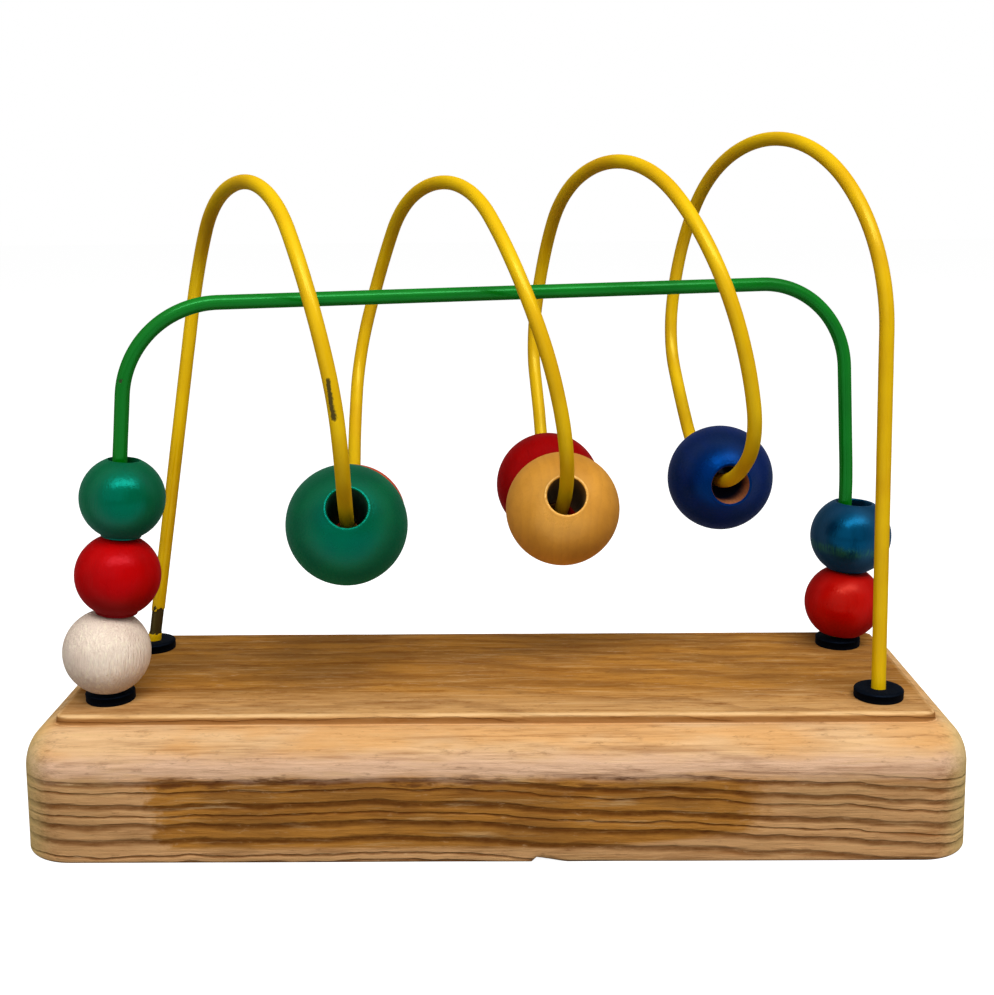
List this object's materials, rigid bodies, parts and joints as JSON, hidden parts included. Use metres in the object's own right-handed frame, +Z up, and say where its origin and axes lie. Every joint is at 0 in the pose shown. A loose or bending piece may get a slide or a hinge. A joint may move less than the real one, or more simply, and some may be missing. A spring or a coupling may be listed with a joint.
{
  "type": "toy bead maze",
  "caption": "Wooden plank with a bent green wire arch and a looping yellow wire, black washers at the wires' feet, and painted wooden beads that slide along both wires.",
  "frame": {"origin": "middle of the plank's flat bottom", "axes": "+X along the plank towards the end with the shorter stack of beads, +Y from the front to the back, +Z up"},
  "size_m": [0.2806, 0.1257, 0.2086],
  "materials": {
    "wood": "satin",
    "green_coat": "gloss",
    "yellow_coat": "gloss",
    "black": "gloss",
    "paint_white": "pearl paint",
    "paint_red": "gloss paint",
    "paint_green": "gloss paint",
    "paint_orange_red": "gloss paint",
    "paint_blue": "gloss paint",
    "paint_orange": "gloss paint",
    "bare_wood": "clear varnish",
    "paint_deep_red": "gloss paint",
    "paint_deep_blue": "gloss paint"
  },
  "bodies": {
    "frame": {"base": "wood", "green_wire": "green_coat", "yellow_wire": "yellow_coat", "washer_front_left": "black", "washer_back_left": "black", "washer_front_right": "black", "washer_back_right": "black"},
    "left_white": {"bead_left_white": "paint_white"},
    "left_red": {"bead_left_red": "paint_red"},
    "left_green": {"bead_left_green": "paint_green"},
    "right_red": {"bead_right_red": "paint_orange_red"},
    "right_blue": {"bead_right_blue": "paint_blue"},
    "dip1_orange": {"bead_dip1_orange": "paint_orange"},
    "dip1_green": {"bead_dip1_green": "paint_green"},
    "dip2_red": {"bead_dip2_red": "paint_deep_red"},
    "dip2_natural": {"bead_dip2_natural": "bare_wood"},
    "dip3_blue": {"bead_dip3_blue": "paint_deep_blue"}
  },
  "joints": [
    {"name": "left_white_slide", "type": "slide", "parent": "frame", "child": "left_white", "axis": [0.1005, 0.0084, 0.9949], "range_m": [0, 0.004]},
    {"name": "left_red_slide", "type": "slide", "parent": "left_white", "child": "left_red", "axis": [0.1005, 0.0084, 0.9949], "range_m": [0, 0.004]},
    {"name": "left_green_slide", "type": "slide", "parent": "left_red", "child": "left_green", "axis": [0.1005, 0.0084, 0.9949], "range_m": [0, 0.012]},
    {"name": "right_red_slide", "type": "slide", "parent": "frame", "child": "right_red", "axis": [-0.04, 0, 0.9992], "range_m": [0, 0.006]},
    {"name": "right_blue_slide", "type": "slide", "parent": "right_red", "child": "right_blue", "axis": [-0.0599, 0, 0.9982], "range_m": [0, 0.014]},
    {"name": "dip1_orange_run", "type": "hinge", "parent": "frame", "child": "dip1_orange", "pos_m": [-0.045, 0.0008, 0.1412], "axis": [0.9973, 0.0732, 0], "range_deg": [-4, 12]},
    {"name": "dip1_green_run", "type": "hinge", "parent": "dip1_orange", "child": "dip1_green", "pos_m": [-0.045, 0.0008, 0.1412], "axis": [0.9973, 0.0732, 0], "range_deg": [-6, 0]},
    {"name": "dip2_red_run", "type": "hinge", "parent": "frame", "child": "dip2_red", "pos_m": [0.019, 0.015, 0.1279], "axis": [0.9957, 0.0924, 0], "range_deg": [-3, 5]},
    {"name": "dip2_natural_run", "type": "hinge", "parent": "dip2_red", "child": "dip2_natural", "pos_m": [0.019, 0.015, 0.1279], "axis": [0.9957, 0.0924, 0], "range_deg": [-5, 0]},
    {"name": "dip3_blue_run", "type": "hinge", "parent": "frame", "child": "dip3_blue", "pos_m": [0.0707, 0.0145, 0.1501], "axis": [0.989, 0.1478, 0], "range_deg": [-19, 26]}
  ]
}
